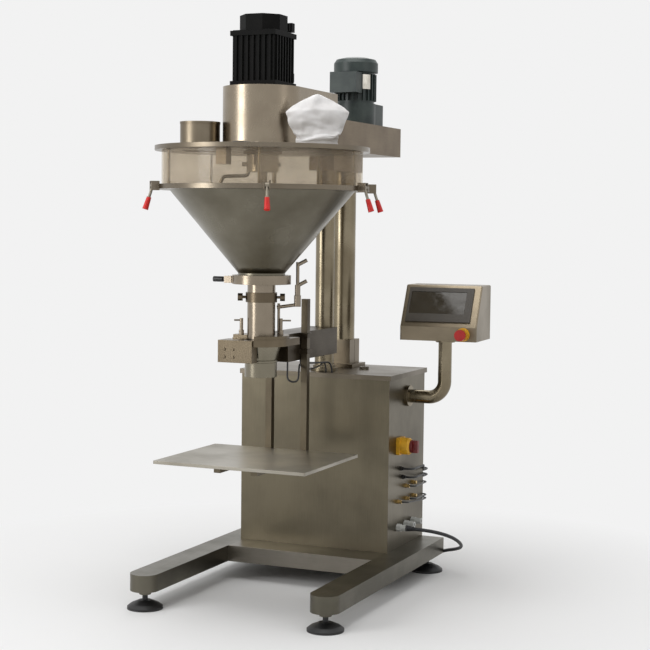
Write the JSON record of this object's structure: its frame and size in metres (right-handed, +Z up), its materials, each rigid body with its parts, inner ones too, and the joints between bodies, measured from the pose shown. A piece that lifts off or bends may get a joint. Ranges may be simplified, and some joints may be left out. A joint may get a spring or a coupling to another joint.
{
  "type": "auger powder filler",
  "caption": "Floor-standing semi-automatic powder filler: hopper with a dosing screw over a bag tray, column, control cabinet on a forked base and a swivelling panel.",
  "frame": {"origin": "on the floor, under the middle of the machine's outer box (free leads left out)", "axes": "+Z up; -Y towards the operator, the side that the hopper and tray overhang; +X towards the side with the switch, glands and panel"},
  "size_m": [0.8377, 1.1627, 1.706],
  "materials": {
    "stainless": "brushed, even grain",
    "stainless_dark": "brushed, darker sheet",
    "polished_tube": "polished stainless tube",
    "spun_cone": "rolled sheet, satin",
    "clear_window": "clear acrylic",
    "screen": "dark glossy screen",
    "dark_bezel": "moulded dark grey",
    "motor_black": "satin black paint on finned aluminium",
    "motor_grey": "dark blue-grey enamel on cast aluminium",
    "red_grip": "red vinyl dip",
    "signal_red": "moulded red",
    "signal_yellow": "moulded yellow",
    "rubber_black": "matt black",
    "lead_black": "PVC sheath",
    "gland_grey": "light grey nylon",
    "filter_cloth": "woven white cloth",
    "chain_steel": "oiled roller chain",
    "control_grey": "bare plate and grey housings"
  },
  "bodies": {
    "machine": {"air_fittings": "polished_tube", "bag_spout": "polished_tube", "bearing_hub": "stainless", "cabinet_lid": "stainless_dark", "cabinet_shell": "stainless_dark", "cable_glands": "gland_grey", "clamp_ring": "polished_tube", "column_block": "stainless", "control_gear": "control_grey", "cross_beams": "stainless", "dosing_tube": "polished_tube", "drive_case": "stainless", "drive_chain": "chain_steel", "drive_housing": "stainless", "feed_inlet": "polished_tube", "filter_bag": "filter_cloth", "front_column": "polished_tube", "gear_motor": "motor_grey", "head_leads": "lead_black", "head_plate": "stainless", "hopper_cone": "spun_cone", "hopper_lid": "stainless", "hopper_ring": "stainless", "hopper_window": "clear_window", "level_sensor": "stainless_dark", "mains_cable": "lead_black", "mains_coil": "lead_black", "mains_plug": "lead_black", "panel_pipe": "polished_tube", "rail_left": "stainless", "rail_right": "stainless", "rear_column": "polished_tube", "servo_motor": "motor_black", "side_leads": "lead_black", "switch_housing": "signal_yellow", "tie_rods": "polished_tube", "tube_collar": "stainless", "weigh_arm": "stainless_dark"},
    "foot_front_left": {"foot_front_left": "rubber_black"},
    "foot_front_right": {"foot_front_right": "rubber_black"},
    "foot_back_left": {"foot_back_left": "rubber_black"},
    "foot_back_right": {"foot_back_right": "rubber_black"},
    "back_door": {"rear_door": "stainless_dark"},
    "main_switch": {"switch_knob": "signal_red"},
    "operator_panel": {"panel_box": "stainless", "screen_frame": "dark_bezel", "screen_glass": "screen", "stop_collar": "signal_yellow"},
    "stop_button": {"stop_button": "signal_red"},
    "dosing_screw": {"auger": "polished_tube"},
    "stirrer": {"agitator": "polished_tube"},
    "driver": {"drive_sprocket": "chain_steel"},
    "lever_1": {"clamp_lever_1": "red_grip"},
    "lever_2": {"clamp_lever_2": "red_grip"},
    "lever_3": {"clamp_lever_3": "red_grip"},
    "lever_4": {"clamp_lever_4": "red_grip"},
    "lever_5": {"clamp_lever_5": "red_grip"},
    "tube_handle": {"clamp_handle": "rubber_black"},
    "bag_tray": {"hanger_frame": "stainless_dark", "tray": "stainless"}
  },
  "joints": [
    {"name": "foot_front_left_screw", "type": "slide", "parent": "machine", "child": "foot_front_left", "axis": [0, 0, 1], "range_m": [-0.02, 0.015]},
    {"name": "foot_front_right_screw", "type": "slide", "parent": "machine", "child": "foot_front_right", "axis": [0, 0, 1], "range_m": [-0.02, 0.015]},
    {"name": "foot_back_left_screw", "type": "slide", "parent": "machine", "child": "foot_back_left", "axis": [0, 0, 1], "range_m": [-0.02, 0.015]},
    {"name": "foot_back_right_screw", "type": "slide", "parent": "machine", "child": "foot_back_right", "axis": [0, 0, 1], "range_m": [-0.02, 0.015]},
    {"name": "back_door_hinge", "type": "hinge", "parent": "machine", "child": "back_door", "pos_m": [-0.3384, 0.4374, 0.383], "axis": [0, 0, 1], "range_deg": [0, 110]},
    {"name": "main_switch_turn", "type": "hinge", "parent": "machine", "child": "main_switch", "pos_m": [0.2101, 0.2054, 0.428], "axis": [1, 0, 0], "range_deg": [0, 90]},
    {"name": "panel_swivel", "type": "hinge", "parent": "machine", "child": "operator_panel", "pos_m": [0.2926, 0.2744, 0.773], "axis": [0, 0, 1], "range_deg": [-45, 45]},
    {"name": "stop_button_press", "type": "slide", "parent": "operator_panel", "child": "stop_button", "axis": [-0.0593, 0.9982, 0], "range_m": [0, 0.004]},
    {"name": "screw_turn", "type": "hinge", "parent": "machine", "child": "dosing_screw", "pos_m": [-0.0819, -0.2706, 1.28], "axis": [0, 0, 1], "continuous": true},
    {"name": "stirrer_turn", "type": "hinge", "parent": "machine", "child": "stirrer", "pos_m": [-0.0819, -0.2706, 1.28], "axis": [0, 0, 1], "continuous": true},
    {"name": "driver_turn", "type": "hinge", "parent": "machine", "child": "driver", "pos_m": [-0.0819, 0.5124, 1.385], "axis": [0, 0, 1], "continuous": true},
    {"name": "lever_1_pull", "type": "hinge", "parent": "machine", "child": "lever_1", "pos_m": [0.0688, -0.55403, 1.219], "axis": [0.8829, 0.4695, 0], "range_deg": [-95, 0]},
    {"name": "lever_2_pull", "type": "hinge", "parent": "machine", "child": "lever_2", "pos_m": [0.2389, -0.2818, 1.219], "axis": [0.0349, 0.9994, 0], "range_deg": [-95, 0]},
    {"name": "lever_3_pull", "type": "hinge", "parent": "machine", "child": "lever_3", "pos_m": [0.20153, -0.1199, 1.219], "axis": [-0.4695, 0.8829, 0], "range_deg": [-95, 0]},
    {"name": "lever_4_pull", "type": "hinge", "parent": "machine", "child": "lever_4", "pos_m": [-0.2326, 0.01283, 1.219], "axis": [-0.8829, -0.4695, 0], "range_deg": [-95, 0]},
    {"name": "lever_5_pull", "type": "hinge", "parent": "machine", "child": "lever_5", "pos_m": [-0.31666, -0.48952, 1.219], "axis": [0.682, -0.7314, 0], "range_deg": [-95, 0]},
    {"name": "tube_handle_pull", "type": "hinge", "parent": "machine", "child": "tube_handle", "pos_m": [-0.1759, -0.2946, 0.954], "axis": [0, 1, 0], "range_deg": [-90, 0]},
    {"name": "tray_height", "type": "slide", "parent": "machine", "child": "bag_tray", "axis": [0, 0, 1], "range_m": [-0.08, 0.19]}
  ],
  "couplings": [
    {"joint": "driver_turn", "follows": "stirrer_turn", "ratio": 2}
  ]
}
